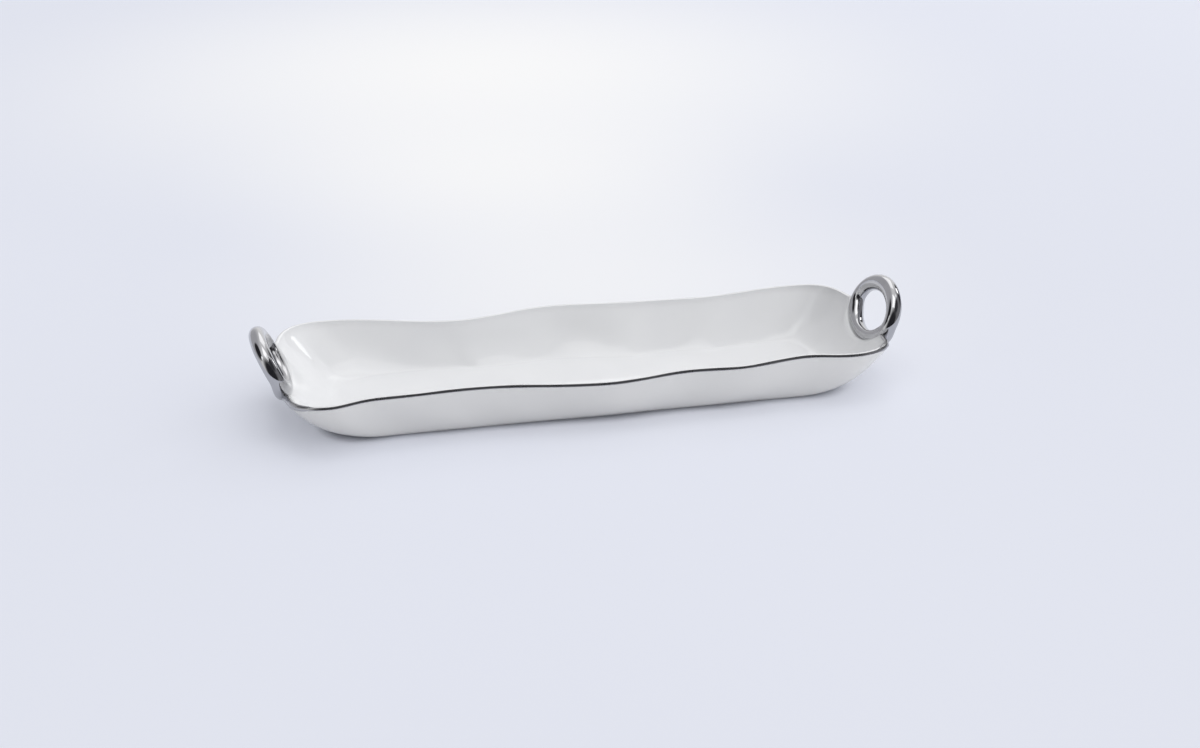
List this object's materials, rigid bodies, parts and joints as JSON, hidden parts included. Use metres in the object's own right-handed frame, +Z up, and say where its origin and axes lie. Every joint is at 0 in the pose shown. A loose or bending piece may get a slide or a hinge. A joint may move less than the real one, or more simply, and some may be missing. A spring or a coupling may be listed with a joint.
{
  "type": "cracker tray",
  "caption": "Long narrow porcelain cracker tray with waved flaring walls, a silver-lustred rim bead and an oval loop handle leaning outwards on each end rim.",
  "frame": {"origin": "on the table plane, under the middle of the tray", "axes": "+X along the tray to its right handle, +Y to its back wall, +Z up from the table"},
  "size_m": [0.3714, 0.1221, 0.0523],
  "materials": {
    "glazed_porcelain": "white gloss glaze over slip-cast porcelain, bare on the foot ring",
    "silver_lustre": "mirror-bright fired metallic lustre over glaze"
  },
  "bodies": {
    "root": {"tray_body": "glazed_porcelain", "front_rim_band": "silver_lustre", "back_rim_band": "silver_lustre", "left_handle": "silver_lustre", "right_handle": "silver_lustre"}
  },
  "joints": []
}
